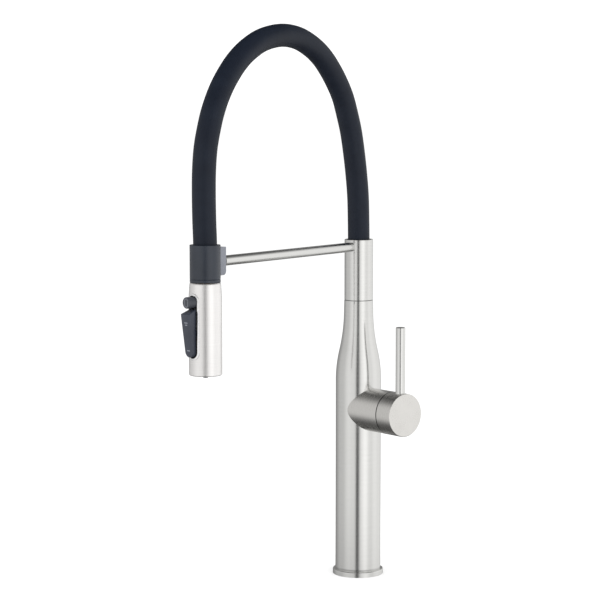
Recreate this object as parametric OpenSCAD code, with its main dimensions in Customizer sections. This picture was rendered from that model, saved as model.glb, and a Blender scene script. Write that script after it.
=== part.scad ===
// Deck-mounted kitchen faucet with a sprung overhead hose, a docking arm,
// a magnetic dock and a two-mode spray head.
// Origin: centre of the seat on the deck. +Z up. The arm points along -Y.
// The lever hub stands off the body to the +X side.

/* [Base] */
// Outside diameter of the flange
flange_d = 53.5; // [52:0.5:58]
// Height of the flange
flange_h = 5.3; // [5:0.1:7]
// Height of the brass base that holds the studs and inlets
manifold_h = 28; // [26:1:40]
// Distance of each mounting stud from the centre
stud_offset = 11; // [10.5:0.5:12]
// Radius of the tapped stud holes (M8 thread, core)
stud_hole_r = 3.4; // [3.3:0.05:3.5]
// Distance of each water inlet from the centre
inlet_offset = 8.5; // [8:0.5:9]
// Radius of the threaded inlets (M10 x 1, core)
inlet_r = 4.5; // [4.4:0.05:4.6]

/* [Body] */
// Outside diameter of the lower body
body_d = 48; // [47:0.5:50]
// Wall of the lower body
body_wall = 2; // [1.8:0.1:2.2]
// Height at which the shoulder starts to draw in
shoulder_z = 208; // [206:1:210]
// Height at which the shoulder ends
neck_z = 283; // [280:1:286]
// Diameter at the top of the shoulder
neck_d = 30.8; // [30.6:0.1:31.4]
// Height of the swivel seam
seam_z = 293; // [290:1:295]

/* [Swivelling column] */
// Outside diameter of the column
column_d = 30; // [29.8:0.1:31]
// Bore of the column
column_bore_d = 25.8; // [25.6:0.1:26]
// Height of the column's rim
column_top_z = 357; // [357:1:362]
// Height of the docking arm's axis
arm_z = 349.5; // [349:0.5:350]
// Diameter of the docking arm
arm_d = 10; // [9:0.5:10]
// Distance from the column's axis to the spray head's axis
reach = 257; // [256:1:258]

/* [Mixer hub] */
// Height of the hub's axis
hub_z = 178.5; // [176:0.5:180]
// Turn of the hub from the +X direction
hub_turn = -14.4; // [-20:0.2:0]
// Outside diameter of the hub
hub_d = 45; // [44.6:0.1:45]
// Distance from the body's axis to the cap's flat face
hub_face = 74; // [73.5:0.5:76]
// Diameter of the lever
lever_d = 10; // [9:0.5:10]
// Distance from the body's axis to the lever's axis
lever_offset = 66; // [65.5:0.5:66.5]
// Height of the lever's tip above the hub's axis
lever_top = 91; // [80:1:100]

/* [Hose] */
// Outside diameter of the silicone sleeve
hose_d = 23; // [22.6:0.1:23]
// Sides of the sleeve's cross-section
hose_sides = 16; // [12:2:20]
// Turns of the support spring inside the sleeve
spring_turns = 46; // [30:1:60]

/* [Spray head] */
// Diameter of the collar on the hose's end
collar_d = 29.5; // [29.4:0.1:30]
// Height of the collar's underside
collar_z = 331; // [330.8:0.1:331.2]
// Height of the collar's top
collar_top_z = 366.5; // [366:0.5:368]
// Diameter of the spray head
head_d = 31.9; // [31.6:0.1:32.4]
// Diameter at the spray head's top
head_top_d = 29.8; // [29.4:0.1:30]
// Height of the spray head's underside
head_z = 242; // [241.5:0.5:243]
// Turn of the controls from the arm's direction
head_turn = -11; // [-20:1:20]

/* [Hidden] */

steel = "lightgray";
brass = "goldenrod";
dark = "dimgray";
rubber = "black";
white_plastic = "whitesmoke";
ceramic = "ivory";

round_fn = 96;
fine_fn = 48;
eps = 0.05;
big = 80;

// Running clearance between turning parts, on the radius
run = 0.06;
// Clearance between pieces that are assembled into each other
seat = 0.1;

body_r = body_d / 2;
body_bore_r = body_r - body_wall;
neck_r = neck_d / 2;
column_r = column_d / 2;
column_bore_r = column_bore_d / 2;
hub_r = hub_d / 2;
lever_r = lever_d / 2;
arm_r = arm_d / 2;
collar_r = collar_d / 2;
head_r = head_d / 2;
seam_gap = 0.6;
body_top_z = seam_z - seam_gap / 2;
column_z = seam_z + seam_gap / 2 + eps;

// Shoulder of the lower body: a convex arc that runs into a concave one
convex_share = 0.42;
neck_taper = 0.25;
shoulder_turn = 2 * atan((body_r - neck_r) / (neck_z - shoulder_z));
arcs_r = (neck_z - shoulder_z) / sin(shoulder_turn);
convex_r = convex_share * arcs_r;
concave_r = arcs_r - convex_r;
inflection_z = shoulder_z + convex_r * sin(shoulder_turn);
shoulder_steps = 24;

function body_outline_r(z) =
    z <= shoulder_z ? body_r
    : z < inflection_z
        ? body_r - convex_r + sqrt(pow(convex_r, 2) - pow(z - shoulder_z, 2))
    : z < neck_z
        ? neck_r + concave_r - sqrt(pow(concave_r, 2) - pow(neck_z - z, 2))
    : neck_r - neck_taper * (z - neck_z) / (seam_z - neck_z);

shoulder_heights = [
    for (i = [0 : shoulder_steps]) shoulder_z + (neck_z - shoulder_z) * i / shoulder_steps
];

// Mixer, along the hub's axis, from the body's axis outwards
housing_r = 20.3;
housing_start = 14;
pocket_start = 20;
pocket_r = 17.45;
housing_end = 50;
nut_start = 48;
case_r = 17.4;
case_bore_r = 16;
port_offset = 8.5;
port_r = 2.4;
fixed_disc_start = 22.6;
moving_disc_start = 26.1;
moving_disc_end = 32;
carrier_start = 32.3;
carrier_end = 45;
// Centre of the ball on which the lever tilts
pivot = 40;
stem_r = 4;
stem_foot = 30.7;
dome_r = 26.2;
dome_wall = 1.5;
cap_cavity_r = dome_r + 0.3;
dome_slot_r = 14;

// Swivel between the body and the column
spigot_r = 10;
bush_end_z = 334;
spigot_top_z = 338;
spigot_bore_r = 4.5;
socket_z = 341;
hose_start_z = 352;

// Hose route: points as [distance out from the column, height]
route = [
    [0, 352], [0.5, 374.5], [1.5, 399], [4, 419.5], [8.5, 444], [14.5, 468.5],
    [21, 486], [29, 504], [39, 518.5], [52, 533], [67, 546], [85.5, 556.5],
    [109.5, 564.5], [136.5, 566.5], [166, 561.5], [189.5, 551.5], [207.5, 539.5],
    [222.5, 525], [234, 510.5], [243.5, 494], [250, 477.5], [255.5, 458],
    [258, 436.5], [258.5, 414], [258, 389.5], [257, 369.5], [257, 352]
];
route_steps = 2;
hose_wall = 1.9;
tube_r = 6.8;
tube_bore_r = 4.6;
tube_sides = 12;
spring_r = 8.2;
spring_wire = 1.6;
spring_steps = 10;

// Controls on the spray head
recess_low_z = 258.1;
recess_high_z = 319.9;
recess_half_w = 6.8;
bezel_wall = 0.8;
button_z = 312.6;
button_r = 5.5;
button_face = 23.8;
rocker_half_w = 4.2;
rocker_pivot_y = -9;
rocker_pivot_z = 283;
rocker_pin_r = 1.2;
housing_front_y = -10.4;
housing_back_y = -5.2;
shell_wall = 1.75;
nipple_r = 7;
// Narrow end of the hose tail, which turns in the head's water way
tail_r = 4.39;
water_way_r = 4.45;
barb_r = 4;
spring_pocket_y = -8.6;

// ---------- helpers ----------

module ring(r_out, r_in, z0, z1, fn = round_fn) {
    difference() {
        translate([0, 0, z0]) cylinder(r = r_out, h = z1 - z0, $fn = fn);
        translate([0, 0, z0 - 1]) cylinder(r = r_in, h = z1 - z0 + 2, $fn = fn);
    }
}

module rod(r, z0, z1, fn = fine_fn) {
    translate([0, 0, z0]) cylinder(r = r, h = z1 - z0, $fn = fn);
}

// Local z runs outwards along the hub's axis, local x points up
module at_hub() {
    rotate([0, 0, hub_turn]) translate([0, 0, hub_z]) rotate([0, 90, 0])
        rotate([0, 0, 180]) children();
}

// Places children at the two inlets, side by side across the hub's axis
module at_inlet(side) {
    rotate([0, 0, hub_turn]) translate([0, side * inlet_offset, 0]) children();
}

// The spray head's own axis, with its controls facing local -y
module at_head() {
    translate([0, -reach, 0]) rotate([0, 0, head_turn]) children();
}

// Lays a cylinder along y, from y0 to y1, at height z
module rod_y(r, y0, y1, z, fn = fine_fn) {
    translate([0, y0, z]) rotate([-90, 0, 0]) cylinder(r = r, h = y1 - y0, $fn = fn);
}

// Upright stadium outline, standing in the x-z plane, from y0 to y1
module stadium(half_w, low_z, high_z, y0, y1, fn = fine_fn) {
    rod_y(half_w, y0, y1, low_z + half_w, fn);
    rod_y(half_w, y0, y1, high_z - half_w, fn);
    translate([-half_w, y0, low_z + half_w])
        cube([2 * half_w, y1 - y0, high_z - low_z - 2 * half_w]);
}

// Ports through the mixer's floor: two inlets and one outlet
module ports(r, z0, z1) {
    for (side = [-1, 1]) translate([0, side * port_offset, 0]) rod(r, z0, z1);
    translate([port_offset, 0, 0]) rod(r, z0, z1);
}

// Catmull-Rom curve through a list of points
function on_curve(p, i, t) =
    let (a = p[max(i - 1, 0)], b = p[i], c = p[i + 1], d = p[min(i + 2, len(p) - 1)])
    0.5 * (2 * b + (c - a) * t + (2 * a - 5 * b + 4 * c - d) * t * t
        + (3 * b - a - 3 * c + d) * t * t * t);

function curve_at(p, s) =
    let (i = min(floor(s), len(p) - 2)) on_curve(p, i, s - i);

function heading(p, s) =
    let (d = curve_at(p, min(s + 0.01, len(p) - 1)) - curve_at(p, max(s - 0.01, 0)))
    d / norm(d);

// A ring of points about the route at s, in a plane square to it
function ring_at(s, r, n) =
    let (c = curve_at(route, s), t = heading(route, s))
    [for (k = [0 : n - 1]) let (a = 360 * k / n)
        [r * cos(a), -(c[0] - r * sin(a) * t[1]), c[1] + r * sin(a) * t[0]]];

// Faces that join rings of n points, each ring m points after the last
function strip(rings, n, m, first, flip) = [
    for (i = [0 : rings - 2]) for (k = [0 : n - 1])
        let (a = first + i * m + k, b = first + i * m + (k + 1) % n)
        for (f = flip ? [[a, b, b + m], [a, b + m, a + m]]
                      : [[b + m, b, a], [a + m, b + m, a]]) f
];

// Faces of an annulus between an outer and an inner ring
function annulus(n, first, flip) = [
    for (k = [0 : n - 1])
        let (a = first + k, b = first + (k + 1) % n)
        for (f = flip ? [[a, b, b + n], [a, b + n, a + n]]
                      : [[b + n, b, a], [a + n, b + n, a]]) f
];

// Hollow tube that follows the route
module hose(r_out, r_in, n) {
    count = (len(route) - 1) * route_steps + 1;
    points = [
        for (i = [0 : count - 1]) for (r = [r_out, r_in])
            each ring_at(i / route_steps, r, n)
    ];
    faces = concat(
        strip(count, n, 2 * n, 0, true),
        strip(count, n, 2 * n, n, false),
        annulus(n, 0, false),
        annulus(n, (count - 1) * 2 * n, true)
    );
    polyhedron(points = points, faces = faces, convexity = 8);
}

// Square wire swept along a list of [centre, outward, along] frames
module square_wire(frames, wire) {
    h = wire / 2;
    points = [
        for (f = frames) for (q = [[-1, -1], [1, -1], [1, 1], [-1, 1]])
            f[0] + q[0] * h * f[1] + q[1] * h * f[2]
    ];
    last = 4 * (len(frames) - 1);
    faces = concat(
        strip(len(frames), 4, 4, 0, true),
        [[2, 1, 0], [3, 2, 0], [last, last + 1, last + 2], [last, last + 2, last + 3]]
    );
    polyhedron(points = points, faces = faces, convexity = 10);
}

// ---------- base ----------

module gasket_groove() {
    ring(24.6, 21.4, -1, 1.2);
}

module deck_gasket() {
    color(rubber) ring(24.5, 21.5, 0, 1.2);
}

module base_flange() {
    edge = 1;
    r = flange_d / 2;
    color(steel) difference() {
        rotate_extrude($fn = round_fn) polygon(concat(
            [[19.9, 0], [r, 0]],
            [for (a = [0 : 15 : 90]) [r - edge + edge * cos(a), flange_h - edge + edge * sin(a)]],
            [[19.9, flange_h]]
        ));
        gasket_groove();
    }
}

module base_manifold() {
    inlet_depth = 14;
    pipe_pocket_z = 22;
    color(brass) difference() {
        union() {
            rod(19.8, 0, flange_h, round_fn);
            rod(body_bore_r - seat, flange_h, manifold_h, round_fn);
        }
        for (side = [-1, 1]) {
            translate([side * stud_offset, 0, 0]) rod(stud_hole_r, -1, 18);
            at_inlet(side) {
                rod(inlet_r, -1, inlet_depth);
                rod(3.2, inlet_depth - 1, manifold_h + 1);
                rod(4.55, pipe_pocket_z, manifold_h + 1);
            }
        }
    }
}

module riser(side) {
    color("peru") at_inlet(side) ring(4.5, 3.5, 22, 158, fine_fn);
}

module hot_riser() {
    riser(1);
}

module cold_riser() {
    riser(-1);
}

// ---------- body and mixer housing ----------

module lower_body() {
    outline = concat(
        [[body_r, flange_h]],
        [for (z = shoulder_heights) [body_outline_r(z), z]],
        [[body_outline_r(body_top_z), body_top_z]]
    );
    inside = [for (i = [len(outline) - 1 : -1 : 0]) outline[i] - [body_wall, 0]];
    color(steel) difference() {
        rotate_extrude($fn = round_fn) polygon(concat(outline, inside));
        at_hub() rod(housing_r + 0.2, 0, big, round_fn);
    }
}

module valve_block() {
    bottom_z = 152;
    top_z = 204;
    pipe_depth = 6;
    color(brass) difference() {
        rod(body_bore_r - 3 * seat, bottom_z, top_z, round_fn);
        at_hub() rod(housing_r + eps, housing_start, big, round_fn);
        for (side = [-1, 1]) {
            at_inlet(side) {
                rod(4.55, bottom_z - 1, bottom_z + pipe_depth);
                rod(2.8, bottom_z, hub_z);
            }
            at_hub() translate([0, -side * port_offset, 0]) rod(port_r, 0, housing_start + 1);
        }
        at_hub() translate([port_offset, 0, 0]) rod(port_r, -port_r, housing_start + 1);
        rod(4, hub_z + port_offset, top_z + 1);
        rod(5.55, top_z - pipe_depth, top_z + 1);
    }
}

module cartridge_housing() {
    color(brass) at_hub() difference() {
        rod(housing_r, housing_start, housing_end, round_fn);
        rod(pocket_r, pocket_start, housing_end + 1, round_fn);
        rod(19, nut_start, housing_end + 1, round_fn);
        ports(port_r, housing_start - 1, pocket_start + 1);
    }
}

module valve_stub() {
    color(steel) difference() {
        at_hub() intersection() {
            ring(hub_r, housing_r + 0.2, 0, pivot + dome_r);
            union() {
                rod(hub_r + 1, -1, pivot + 8, round_fn);
                translate([0, 0, pivot]) sphere(r = dome_r, $fn = round_fn);
            }
        }
        rod(body_r, 0, seam_z, round_fn);
    }
}

module cartridge_seals() {
    color(rubber) at_hub() {
        for (side = [-1, 1]) translate([0, side * port_offset, 0])
            ring(4, 2.6, pocket_start, pocket_start + 1.2, fine_fn);
        translate([port_offset, 0, 0]) ring(4, 2.6, pocket_start, pocket_start + 1.2, fine_fn);
    }
}

module cartridge_base() {
    color(white_plastic) at_hub() difference() {
        rod(case_r, pocket_start, fixed_disc_start, round_fn);
        ports(port_r, pocket_start - 1, fixed_disc_start + 1);
        ports(4.05, pocket_start - 1, pocket_start + 1.2);
    }
}

module fixed_disc() {
    color(ceramic) at_hub() difference() {
        rod(case_bore_r - 0.2, fixed_disc_start, moving_disc_start - 0.1, round_fn);
        ports(port_r, fixed_disc_start - 1, moving_disc_start);
    }
}

module cartridge_case() {
    color(white_plastic) at_hub() difference() {
        rod(case_r, fixed_disc_start, nut_start, round_fn);
        rod(case_bore_r, fixed_disc_start - 1, carrier_end + 0.3, round_fn);
        rod(10, fixed_disc_start, nut_start + 1, round_fn);
    }
}

module cartridge_nut() {
    color(brass) at_hub() difference() {
        ring(18.95, 12.5, nut_start, nut_start + 4);
        for (a = [0, 90]) rotate([0, 0, a]) translate([-2, -big / 2, nut_start + 2.4])
            cube([4, big, 4]);
    }
}

// Spherical cover that the cap slides over
module bonnet_dome() {
    skirt_r = housing_r + 0.1;
    color(steel) at_hub() {
        intersection() {
            difference() {
                translate([0, 0, pivot]) sphere(r = dome_r, $fn = round_fn);
                translate([0, 0, pivot]) sphere(r = dome_r - dome_wall, $fn = round_fn);
                rod(dome_slot_r, pivot, big, round_fn);
            }
            rod(skirt_r, 54, big, round_fn);
        }
        ring(skirt_r, 19.2, housing_end, 55.6);
    }
}

module outlet_riser() {
    color("peru") ring(5.5, 4.5, 198, 272, fine_fn);
}

// ---------- swivel, fixed side ----------

module swivel_spigot() {
    grooves = [300, 318];
    color(brass) difference() {
        union() {
            rod(12.9, 266, body_top_z, round_fn);
            rod(spigot_r, body_top_z, spigot_top_z, round_fn);
        }
        rod(spigot_bore_r, 265, spigot_top_z + 1);
        rod(5.55, 265, 272);
        for (z = grooves) ring(spigot_r + 1, 7.5, z - 1.3, z + 1.3);
        ring(spigot_r + 1, 8.5, bush_end_z + 0.4, bush_end_z + 2);
    }
}

module swivel_o_rings() {
    color(rubber) for (z = [300, 318]) translate([0, 0, z])
        rotate_extrude($fn = round_fn) translate([8.75, 0]) circle(r = 1.2, $fn = 24);
}

module slip_washer() {
    color(dark) ring(14.4, spigot_r + seat, body_top_z, seam_z + seam_gap / 2);
}

// Open retaining ring that keeps the column on the spigot
module swivel_clip() {
    color(steel) difference() {
        ring(11.8, 8.55, bush_end_z + 0.5, bush_end_z + 1.9);
        translate([-3, 0, bush_end_z]) cube([6, 20, 4]);
    }
}

// ---------- mixer, turning and tilting parts ----------

module mixer_carrier() {
    color(white_plastic) at_hub() difference() {
        rod(case_bore_r - run, carrier_start, carrier_end, round_fn);
        rod(8, carrier_start - 1, carrier_end + 1, round_fn);
        rod_y(1.5, -big / 2, big / 2, pivot);
    }
}

module stem_pin() {
    color(steel) at_hub() rod_y(1.5, -15, 15, pivot);
}

module moving_disc() {
    color(ceramic) at_hub() difference() {
        rod(11.8, moving_disc_start, moving_disc_end, round_fn);
        rod(7, moving_disc_start - 1, moving_disc_start + 1.2);
        rod(2.9, 28, moving_disc_end + 1);
    }
}

module mixer_stem() {
    ball_r = 6;
    foot_r = 2.5;
    shank_r = 1.8;
    steps = 8;
    // Angles at which the two balls run into the shank and the stem
    foot_end = acos(shank_r / foot_r);
    ball_start = -acos(shank_r / ball_r);
    ball_end = acos(stem_r / ball_r);
    color(steel) at_hub() difference() {
        rotate_extrude($fn = fine_fn) polygon(concat(
            [for (i = [0 : steps]) let (a = -90 + (foot_end + 90) * i / steps)
                [foot_r * cos(a), stem_foot + foot_r * sin(a)]],
            [for (i = [0 : steps]) let (a = ball_start + (ball_end - ball_start) * i / steps)
                [ball_r * cos(a), pivot + ball_r * sin(a)]],
            [[stem_r, hub_face - 2], [0, hub_face - 2]]
        ));
        rod_y(1.5 + run, -10, 10, pivot);
    }
}

module handle_cap() {
    edge = 0.7;
    screw_z = hub_face - 3.6;
    color(steel) at_hub() difference() {
        rotate_extrude($fn = round_fn) polygon(concat(
            [[0, 50], [hub_r, 50]],
            [for (a = [0 : 15 : 90])
                [hub_r - edge + edge * cos(a), hub_face - edge + edge * sin(a)]],
            [[0, hub_face]]
        ));
        translate([0, 0, pivot]) sphere(r = cap_cavity_r, $fn = round_fn);
        rod(stem_r, pivot, hub_face - 2);
        translate([17, 0, lever_offset]) rotate([0, 90, 0]) rod(lever_r, 0, big);
        translate([0, 0, screw_z]) rotate([0, -90, 0]) rod(2.1, 0, big);
    }
}

module lever_pin() {
    chamfer = 0.5;
    color(steel) at_hub() translate([0, 0, lever_offset]) rotate([0, 90, 0])
        rotate_extrude($fn = fine_fn) polygon([
            [0, 17], [lever_r, 17], [lever_r, lever_top - chamfer],
            [lever_r - chamfer, lever_top], [0, lever_top]
        ]);
}

// Grub screw that holds the cap on the stem
module handle_screw() {
    color(dark) at_hub() translate([0, 0, hub_face - 3.6]) rotate([0, -90, 0]) difference() {
        rod(2.05, stem_r + eps, 17);
        rotate([0, 0, 30]) translate([0, 0, 14]) cylinder(r = 1.2, h = 4, $fn = 6);
    }
}

// ---------- column, arm and dock ----------

module upper_column() {
    edge = 0.4;
    color(steel) difference() {
        rotate_extrude($fn = round_fn) polygon([
            [column_bore_r, column_z], [column_r, column_z],
            [column_r, column_top_z - edge], [column_r - edge, column_top_z],
            [column_bore_r, column_top_z]
        ]);
        rod_y(3.5, -column_r - 1, 0, arm_z);
    }
}

module column_bush() {
    color(white_plastic) ring(column_bore_r, spigot_r + run, column_z + 0.6, bush_end_z);
}

// Threaded seat for the hose, with the barb that the inner tube grips
module hose_socket() {
    color(brass) difference() {
        union() {
            rod(column_bore_r - seat, socket_z, hose_start_z - seat, round_fn);
            rod(barb_r, hose_start_z - 1, hose_start_z + 12);
        }
        rod(2.6, socket_z - 1, hose_start_z + 15);
        translate([-4.2, -column_bore_r - 1, socket_z - 1]) cube([8.4, 4, 12.5]);
    }
}

module arm_rod() {
    arm_end = reach - 27;
    color(steel) difference() {
        rod_y(arm_r, -arm_end, -10, arm_z, fine_fn);
        rod(column_r, 300, 400, round_fn);
        rod_y(1.9, -column_r - 12, -10, arm_z);
    }
    color(steel) difference() {
        rod_y(3.5, -column_r - 1, -column_bore_r, arm_z);
        rod_y(1.9, -column_r - 2, -10, arm_z);
    }
}

// Screw that holds the arm from inside the column
module arm_screw() {
    color("silver") difference() {
        union() {
            rod_y(1.85, -column_r - 10, -column_bore_r + 1, arm_z);
            rod_y(2.4, -column_bore_r + 0.4, -column_bore_r + 2.2, arm_z);
        }
        translate([0, -column_bore_r + 1.1, arm_z]) rotate([-90, 0, 0])
            cylinder(r = 1.2, h = 4, $fn = 6);
    }
}

module dock_neck() {
    color(dark) rod_y(arm_r - 0.1, -(reach - 24), -(reach - 27), arm_z);
}

module dock_block() {
    half_w = 6.5;
    back = reach - 24;
    front = reach - 12;
    low_z = 336.5;
    high_z = 363.5;
    corner = 4;
    cut = 4.5;
    outline = concat(
        [[-back, high_z], [-front, high_z], [-front, low_z + cut + 2], [-front + 3.5, low_z]],
        [for (a = [-90 : 15 : 0]) [-back - corner + corner * cos(a), low_z + corner + corner * sin(a)]]
    );
    color("gray") difference() {
        translate([-half_w, 0, 0]) rotate([90, 0, 90])
            linear_extrude(height = 2 * half_w) polygon(outline);
        translate([0, -reach, 0]) rod(collar_r + 0.3, 300, 400, round_fn);
        rod_y(4, -(reach - 17), -(reach - 20.5), arm_z);
    }
}

module dock_magnet() {
    color("silver") rod_y(4, -(reach - 17), -(reach - 20.5), arm_z);
}

// ---------- hose ----------

module hose_sleeve() {
    color("darkslategray") hose(hose_d / 2, hose_d / 2 - hose_wall, hose_sides);
}

module hose_tube() {
    color("slategray") hose(tube_r, tube_bore_r, tube_sides);
}

module hose_spring() {
    from = 0.25;
    to = len(route) - 1.25;
    count = spring_turns * spring_steps;
    frames = [
        for (i = [0 : count])
            let (s = from + (to - from) * i / count, a = 360 * i / spring_steps)
            let (c = curve_at(route, s), t = heading(route, s))
            let (out = [cos(a), sin(a) * t[1], sin(a) * t[0]])
            [[0, -c[0], c[1]] + spring_r * out, out, [0, -t[0], t[1]]]
    ];
    color("silver") square_wire(frames, spring_wire);
}

// ---------- hose end ----------

// Brass tail: barb in the hose, flange in the collar, spindle in the head
module hose_nipple() {
    color(brass) translate([0, -reach, 0]) difference() {
        union() {
            rod(barb_r, hose_start_z - 1, hose_start_z + 10);
            rod(9, 339, hose_start_z - seat, round_fn);
            rod(13.1, 334, 340, round_fn);
            rod(nipple_r, 321, 335, round_fn);
            rod(8.6, 320.9, 322.4, round_fn);
            rod(tail_r, 314.4, 321, round_fn);
        }
        rod(2.6, 313, hose_start_z + 14);
        ring(tail_r + 1, 3.3, 317, 318.4);
    }
}

module nipple_seal() {
    color(rubber) translate([0, -reach, 317.7]) rotate_extrude($fn = round_fn)
        translate([3.85, 0]) circle(r = 0.53, $fn = 24);
}

module hose_collar() {
    edge = 0.5;
    hole_r = hose_d / 2 + 0.3;
    bore_r = 13.2;
    color(dark) translate([0, -reach, 0]) rotate_extrude($fn = round_fn) polygon([
        [nipple_r + 0.5, collar_z], [collar_r - edge, collar_z],
        [collar_r, collar_z + edge], [collar_r, collar_top_z - edge],
        [collar_r - edge, collar_top_z], [hole_r, collar_top_z],
        [hole_r, collar_top_z - 3], [bore_r, collar_top_z - 3],
        [bore_r, 334], [nipple_r + 0.5, 334]
    ]);
}

// Steel ring that the dock's magnet pulls on
module collar_ring() {
    color("silver") translate([0, -reach, 0]) ring(13.1, 12.1, 341, 360);
}

// ---------- spray head ----------

module head_shell() {
    top_z = collar_z - 0.6;
    shoulder = 14.4;
    edge = 0.6;
    bore_r = head_r - shell_wall;
    color(steel) at_head() difference() {
        rotate_extrude($fn = round_fn) polygon([
            [bore_r, head_z], [head_r - edge, head_z], [head_r, head_z + edge],
            [head_r, top_z - shoulder], [head_top_d / 2 + 0.2, top_z - 1],
            [head_top_d / 2 - 0.3, top_z], [9, top_z], [9, top_z - 4.2],
            [head_top_d / 2 - 1.6, top_z - 4.2], [bore_r, top_z - shoulder]
        ]);
        stadium(recess_half_w, recess_low_z, recess_high_z, -big / 2, -8);
    }
}

module head_nut() {
    color(brass) at_head() ring(13, nipple_r + run, 322.6, 326.1);
}

module head_filter() {
    color("silver") at_head() difference() {
        rod(water_way_r - eps, 312.2, 313);
        for (x = [-2 : 2 : 2]) for (y = [-2 : 2 : 2]) translate([x, y, 0]) rod(0.7, 312, 314, 16);
    }
}

module check_valve() {
    color(white_plastic) at_head() difference() {
        rod(water_way_r - eps, 298.2, 312, fine_fn);
        rod(3.4, 300, 313, fine_fn);
        rod(1.8, 297, 301, fine_fn);
    }
}

module head_core() {
    color(white_plastic) at_head() difference() {
        rod(13.6, 250.5, 320, round_fn);
        translate([-7.6, -20, 256]) cube([15.2, 20 + housing_back_y + 0.1, 66]);
        rod(water_way_r, 298, 321, round_fn);
        rod(3, 250, 299);
    }
}

// Bright rim around the controls, with a lip that lies on the shell
module control_bezel() {
    proud = 0.45;
    lip = 1.1;
    color("silver") at_head() difference() {
        union() {
            intersection() {
                stadium(recess_half_w - eps, recess_low_z + eps, recess_high_z - eps,
                    -head_r - 1, housing_front_y);
                rod(head_r + proud, 240, 330, round_fn);
            }
            intersection() {
                stadium(recess_half_w + lip, recess_low_z - lip, recess_high_z + lip,
                    -head_r - 1, -8);
                ring(head_r + proud, head_r + eps, 240, 330, round_fn);
            }
        }
        stadium(recess_half_w - bezel_wall, recess_low_z + bezel_wall,
            recess_high_z - bezel_wall, -head_r - 2, housing_front_y + 1);
    }
}

module control_housing() {
    color(dark) at_head() difference() {
        stadium(7.2, recess_low_z - 1, recess_high_z + 1, housing_front_y, housing_back_y);
        rod_y(4.5, housing_front_y - 1, spring_pocket_y, button_z);
        rod_y(2.5 + run, spring_pocket_y - 1, housing_back_y + 1, button_z);
        translate([-3.3, housing_front_y - 1, rocker_pivot_z - 4])
            cube([6.6, 5.2, 8]);
        translate([-big / 2, rocker_pivot_y, rocker_pivot_z]) rotate([0, 90, 0])
            cylinder(r = rocker_pin_r, h = big, $fn = fine_fn);
    }
}

module rocker_pin() {
    color(steel) at_head() translate([-6.6, rocker_pivot_y, rocker_pivot_z]) rotate([0, 90, 0])
        cylinder(r = rocker_pin_r, h = 13.2, $fn = fine_fn);
}

module button_spring() {
    steps = 12;
    turns = 3;
    wire = 0.45;
    from = -12.9;
    to = spring_pocket_y - 0.3;
    frames = [
        for (i = [0 : steps * turns])
            let (a = 360 * i / steps, y = from + (to - from) * i / (steps * turns))
            let (out = [cos(a), 0, -sin(a)])
            [[0, y, button_z] + 3.5 * out, out, [0, 1, 0]]
    ];
    color("silver") at_head() square_wire(frames, wire);
}

// Places children at the spray holes, in rings about the centre
module at_spray_holes() {
    for (row = [1 : 3]) for (i = [0 : 5 * row + 2])
        rotate([0, 0, 360 * i / (5 * row + 3)]) translate([2.4 + 3 * row, 0, 0]) children();
}

module spray_plate() {
    color(dark) at_head() difference() {
        rod(head_r - shell_wall - seat, head_z + 0.4, head_z + 3, round_fn);
        at_spray_holes() rod(0.75, head_z - 1, head_z + 4, 16);
        rod(2.6, head_z - 1, head_z + 4);
    }
}

module nozzle_mat() {
    color(rubber) at_head() difference() {
        union() {
            rod(head_r - shell_wall - seat, head_z + 3, head_z + 4.5, round_fn);
            at_spray_holes() rod(0.7, head_z - 0.2, head_z + 3.5, 16);
        }
        at_spray_holes() rod(0.35, head_z - 1, head_z + 5, 16);
        rod(2.6, head_z + 2, head_z + 5);
    }
}

module jet_nozzle() {
    color(dark) at_head() ring(2.3, 1.5, head_z - 2.6, head_z + 7.4, fine_fn);
}

// Wedge that switches between spray and jet, with a wide, sloping face
module spray_rocker() {
    base_y = -15.4;
    base_low_z = 260.4;
    base_high_z = 306;
    face_y = -25;
    face_z = 301.7;
    face_tilt = 6.6;
    face_length = 41.5;
    face_half_w = 6.3;
    face_low_r = 5.2;
    color(dark) at_head() difference() {
        union() {
            intersection() {
                hull() {
                    stadium(rocker_half_w, base_low_z, base_high_z + 5, base_y - 1, base_y, 32);
                    translate([0, face_y, face_z]) rotate([face_tilt, 0, 0]) {
                        translate([-face_half_w, 0, -4]) cube([2 * face_half_w, 0.8, 4]);
                        rod_y(face_low_r, 0, 0.8, face_low_r - face_length, 32);
                    }
                }
                translate([-big / 2, 0, 0]) rotate([90, 0, 90]) linear_extrude(height = big)
                    polygon([
                        [base_y, base_high_z], [face_y, face_z],
                        [face_y - 1, face_z], [face_y - 1, 255], [base_y, 255]
                    ]);
            }
            translate([-1.6, base_y - 0.5, rocker_pivot_z - 3.5]) cube([3.2, 7.7, 7]);
            rod_x(2.4, -3, 3, rocker_pivot_y, rocker_pivot_z);
        }
        rod_x(rocker_pin_r + run, -10, 10, rocker_pivot_y, rocker_pivot_z);
    }
}

// Lays a cylinder along x, from x0 to x1, at y and z
module rod_x(r, x0, x1, y, z, fn = fine_fn) {
    translate([x0, y, z]) rotate([0, 90, 0]) cylinder(r = r, h = x1 - x0, $fn = fn);
}

module pause_button() {
    edge = 0.8;
    back_y = -13.2;
    color(dark) at_head() translate([0, 0, button_z]) rotate([90, 0, 0]) {
        difference() {
            rotate_extrude($fn = round_fn) polygon(concat(
                [[0, -back_y], [button_r, -back_y]],
                [for (a = [0 : 15 : 90])
                    [button_r - edge + edge * cos(a), button_face - edge + edge * sin(a)]],
                [[0, button_face]]
            ));
            rotate([0, 0, 90]) translate([0, 0, button_face - 0.4]) difference() {
                slot_outline(2.6, 1.5);
                slot_outline(2.1, 1.5);
            }
        }
        rod(2.5, 7.8, -back_y + 0.1);
    }
}

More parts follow.
